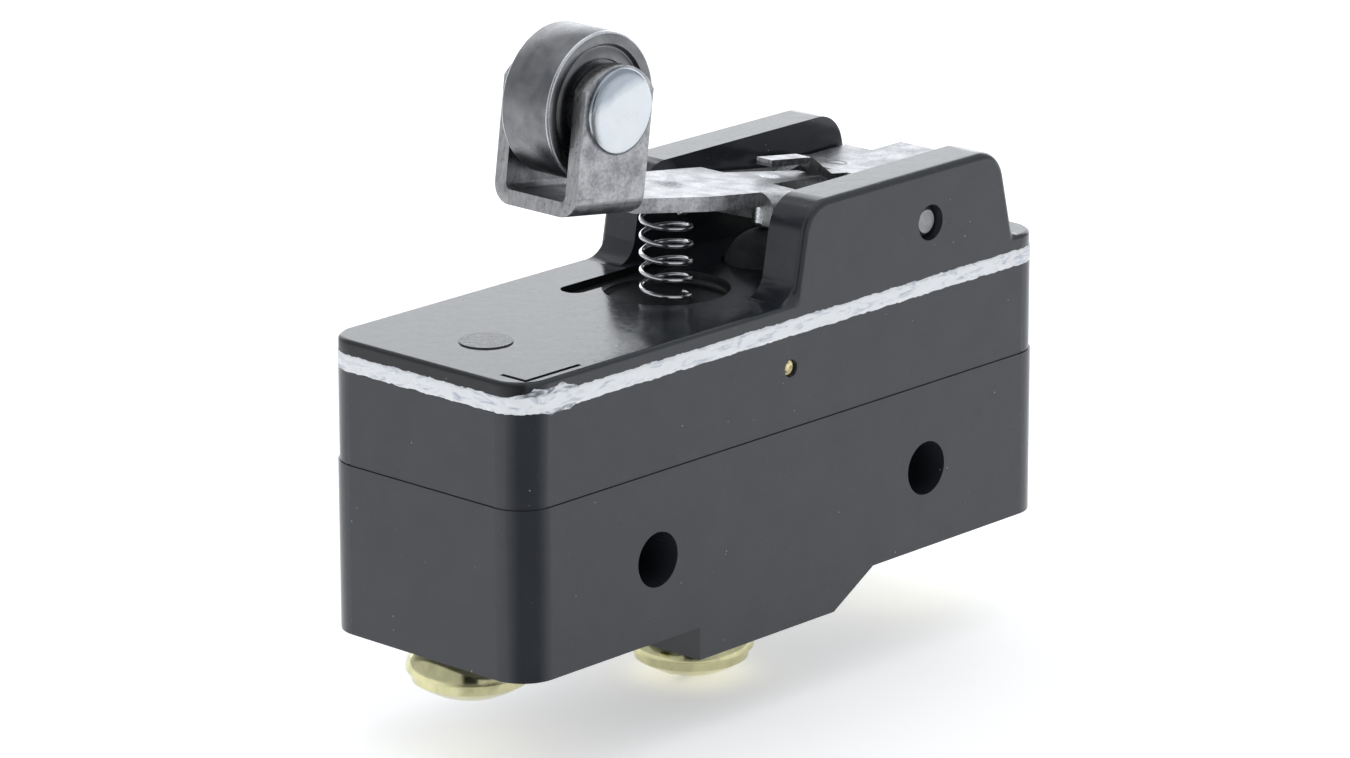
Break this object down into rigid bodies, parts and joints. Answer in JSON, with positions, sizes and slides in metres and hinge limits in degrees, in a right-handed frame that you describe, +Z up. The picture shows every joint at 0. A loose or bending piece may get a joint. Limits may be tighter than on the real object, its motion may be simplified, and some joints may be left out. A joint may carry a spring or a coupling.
{
  "type": "limit switch",
  "caption": "Enclosed snap-action limit switch with a hinged roller lever, an outer return spring, screw terminals below and side mounting holes.",
  "frame": {"origin": "centre of the pair of side mounting holes, at mid-width of the case", "axes": "+X along the case from the roller end towards the pivot end, +Y through the case along the mounting holes, +Z up towards the roller"},
  "size_m": [0.0492, 0.0174, 0.0447],
  "materials": {
    "black_phenolic": "semi-gloss moulded black phenolic",
    "white_compound": "rough hand-laid white potting compound",
    "stamped_steel": "matt mottled zinc-plated steel with sheared edges",
    "bright_steel": "satin nickel-plated steel",
    "dark_steel": "hardened dark grey steel, fine turned",
    "spring_steel": "bright drawn wire",
    "black_rubber": "matt black rubber",
    "inner_plastic": "matt red-brown moulded plastic",
    "yellow_brass": "yellow-passivated screw, satin",
    "terminal_brass": "plain brass",
    "copper_alloy": "rolled beryllium copper",
    "silver_contact": "silver alloy"
  },
  "bodies": {
    "case": {"terminal_base": "black_phenolic", "upper_case": "black_phenolic", "sealing_compound": "white_compound", "lever_cover": "black_phenolic", "pivot_pin": "bright_steel", "return_spring": "spring_steel", "plunger_boot": "black_rubber", "left_cup_washer": "yellow_brass", "middle_cup_washer": "yellow_brass", "right_cup_washer": "yellow_brass", "left_terminal_screw": "yellow_brass", "middle_terminal_screw": "yellow_brass", "right_terminal_screw": "yellow_brass", "normally_open_terminal": "terminal_brass", "normally_closed_terminal": "terminal_brass", "common_terminal": "terminal_brass", "normally_open_contact": "silver_contact", "normally_closed_contact": "silver_contact", "case_eyelets": "terminal_brass"},
    "lever": {"lever_arm": "stamped_steel", "tail_plate": "stamped_steel", "press_stud": "bright_steel", "roller_rivet": "bright_steel"},
    "roller": {"roller": "dark_steel"},
    "plunger": {"plunger": "inner_plastic", "overtravel_spring": "spring_steel"},
    "drive_pin": {"plunger_pin": "inner_plastic"},
    "blade": {"snap_blade": "copper_alloy", "toggle_spring": "copper_alloy", "moving_contact": "silver_contact"}
  },
  "joints": [
    {"name": "lever_pivot", "type": "hinge", "parent": "case", "child": "lever", "pos_m": [0.0131, 0, 0.01638], "axis": [0, -1, 0], "range_deg": [0, 10], "stiffness_Nm_per_rad": 0.15, "springref_deg": -5.73, "deforming": ["return_spring"]},
    {"name": "roller_spin", "type": "hinge", "parent": "lever", "child": "roller", "pos_m": [-0.01052, 0, 0.02734], "axis": [0, 1, 0], "continuous": true},
    {"name": "plunger_slide", "type": "slide", "parent": "case", "child": "plunger", "axis": [0, 0, -1], "range_m": [0, 0.00115], "deforming": ["plunger_boot", "overtravel_spring"]},
    {"name": "drive_pin_slide", "type": "slide", "parent": "case", "child": "drive_pin", "axis": [0, 0, -1], "range_m": [0, 0.00028]},
    {"name": "blade_snap", "type": "hinge", "parent": "case", "child": "blade", "pos_m": [0.0155, 0, 0.0078], "axis": [0, -1, 0], "range_deg": [0, 1.65]}
  ],
  "couplings": [
    {"joint": "plunger_slide", "follows": "lever_pivot", "m_per_rad": 0.00634},
    {"joint": "drive_pin_slide", "follows": "lever_pivot", "m_per_rad": 0.00135},
    {"joint": "blade_snap", "follows": "lever_pivot", "ratio": 0.16}
  ]
}
